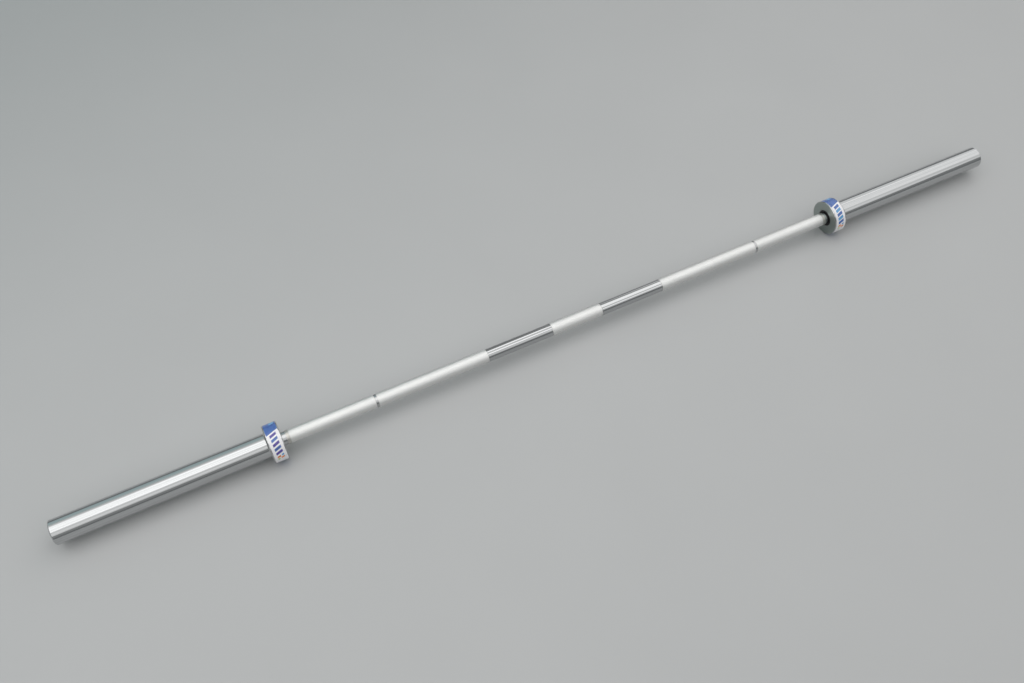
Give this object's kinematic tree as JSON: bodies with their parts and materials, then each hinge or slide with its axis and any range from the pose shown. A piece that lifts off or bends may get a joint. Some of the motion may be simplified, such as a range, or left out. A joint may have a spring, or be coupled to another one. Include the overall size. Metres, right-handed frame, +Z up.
{
  "type": "barbell",
  "caption": "Long steel weightlifting bar with knurled grip bands and a collared sleeve that spins on bearings at each end.",
  "frame": {"origin": "middle of the bar, on its axis", "axes": "+X along the bar towards the right sleeve, +Z up, and -Y towards the side the picture was taken from"},
  "size_m": [2.2, 0.079, 0.079],
  "materials": {
    "shaft_chrome": "satin chrome, bright between the knurled bands",
    "sleeve_chrome": "hard chrome, polished",
    "marking_band": "glossy white with blue blocks",
    "seal_rubber": "matt black",
    "bearing_steel": "ground and hardened",
    "bronze": "machined bronze",
    "spring_steel": "black phosphate",
    "tube_steel": "drawn tube",
    "plug_steel": "turned face, bare"
  },
  "bodies": {
    "shaft": {"shaft": "shaft_chrome", "left_shaft_circlip": "spring_steel", "right_shaft_circlip": "spring_steel"},
    "left_sleeve": {"left_sleeve": "sleeve_chrome", "left_marking_band": "marking_band", "left_dust_seal": "seal_rubber", "left_inner_washer": "bearing_steel", "left_inner_bushing": "bronze", "left_bearing_cup_1": "bearing_steel", "left_bearing_cup_2": "bearing_steel", "left_bearing_cup_3": "bearing_steel", "left_bearing_cup_4": "bearing_steel", "left_spacer_1": "tube_steel", "left_spacer_2": "tube_steel", "left_spacer_3": "tube_steel", "left_outer_bushing": "bronze", "left_outer_washer": "bearing_steel", "left_end_plug": "plug_steel", "left_plug_circlip": "spring_steel"},
    "right_sleeve": {"right_sleeve": "sleeve_chrome", "right_marking_band": "marking_band", "right_dust_seal": "seal_rubber", "right_inner_washer": "bearing_steel", "right_inner_bushing": "bronze", "right_bearing_cup_1": "bearing_steel", "right_bearing_cup_2": "bearing_steel", "right_bearing_cup_3": "bearing_steel", "right_bearing_cup_4": "bearing_steel", "right_spacer_1": "tube_steel", "right_spacer_2": "tube_steel", "right_spacer_3": "tube_steel", "right_outer_bushing": "bronze", "right_outer_washer": "bearing_steel", "right_end_plug": "plug_steel", "right_plug_circlip": "spring_steel"},
    "left_cages": {"left_needle_cage_1": "bearing_steel", "left_needle_cage_2": "bearing_steel", "left_needle_cage_3": "bearing_steel", "left_needle_cage_4": "bearing_steel"},
    "right_cages": {"right_needle_cage_1": "bearing_steel", "right_needle_cage_2": "bearing_steel", "right_needle_cage_3": "bearing_steel", "right_needle_cage_4": "bearing_steel"}
  },
  "joints": [
    {"name": "left_sleeve_spin", "type": "hinge", "parent": "shaft", "child": "left_sleeve", "pos_m": [-0.655, 0, 0], "axis": [1, 0, 0], "continuous": true},
    {"name": "right_sleeve_spin", "type": "hinge", "parent": "shaft", "child": "right_sleeve", "pos_m": [0.655, 0, 0], "axis": [1, 0, 0], "continuous": true},
    {"name": "left_cage_roll", "type": "hinge", "parent": "shaft", "child": "left_cages", "pos_m": [-0.655, 0, 0], "axis": [1, 0, 0], "continuous": true},
    {"name": "right_cage_roll", "type": "hinge", "parent": "shaft", "child": "right_cages", "pos_m": [0.655, 0, 0], "axis": [1, 0, 0], "continuous": true}
  ],
  "couplings": [
    {"joint": "left_cage_roll", "follows": "left_sleeve_spin", "ratio": 0.54546},
    {"joint": "right_cage_roll", "follows": "right_sleeve_spin", "ratio": 0.54546}
  ]
}
